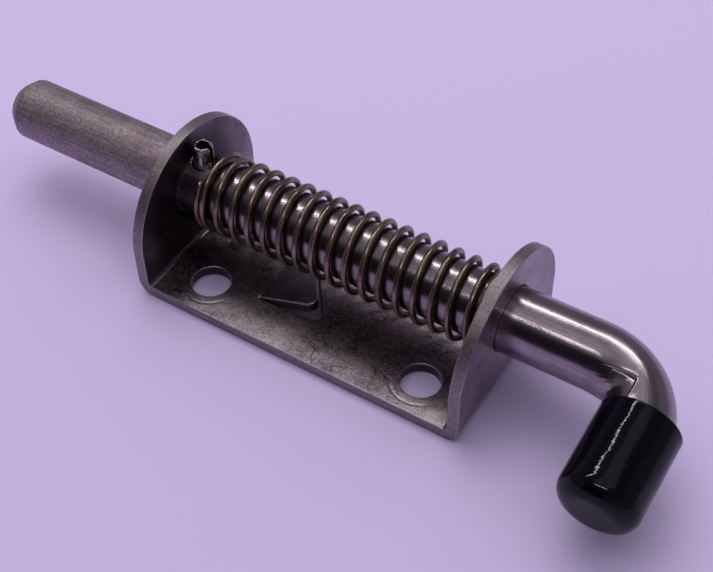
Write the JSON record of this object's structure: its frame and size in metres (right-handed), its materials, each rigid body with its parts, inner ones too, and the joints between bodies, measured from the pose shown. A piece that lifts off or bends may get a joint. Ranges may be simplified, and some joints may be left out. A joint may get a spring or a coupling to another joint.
{
  "type": "spring loaded gate latch",
  "caption": "Spring loaded bolt latch: round bolt with a bent, capped handle sliding in a folded steel bracket.",
  "frame": {"origin": "centre of the four screw holes, on the bracket's mounting face", "axes": "+X along the bolt towards its handle, +Y to the back, +Z away from the mounting face"},
  "size_m": [0.1512, 0.0463, 0.0288],
  "materials": {
    "bracket_steel": "dull plated sheet",
    "bolt_steel": "bright drawn bar",
    "pin_steel": "bright",
    "spring_wire": "oiled, yellowish",
    "cap_vinyl": "gloss black vinyl"
  },
  "bodies": {
    "bracket": {"bracket": "bracket_steel"},
    "spring": {"spring": "spring_wire"},
    "bolt": {"bolt_rod": "bolt_steel", "cross_pin": "pin_steel", "handle_cap": "cap_vinyl"}
  },
  "joints": [
    {"name": "bolt_slide", "type": "slide", "parent": "bracket", "child": "spring", "axis": [1, 0, 0], "range_m": [0, 0.036], "stiffness_N_per_m": 430, "springref_m": -0.015, "deforming": ["spring"]},
    {"name": "bolt_turn", "type": "hinge", "parent": "spring", "child": "bolt", "pos_m": [0, 0, 0.01645], "axis": [1, 0, 0], "range_deg": [-208, 8]}
  ]
}
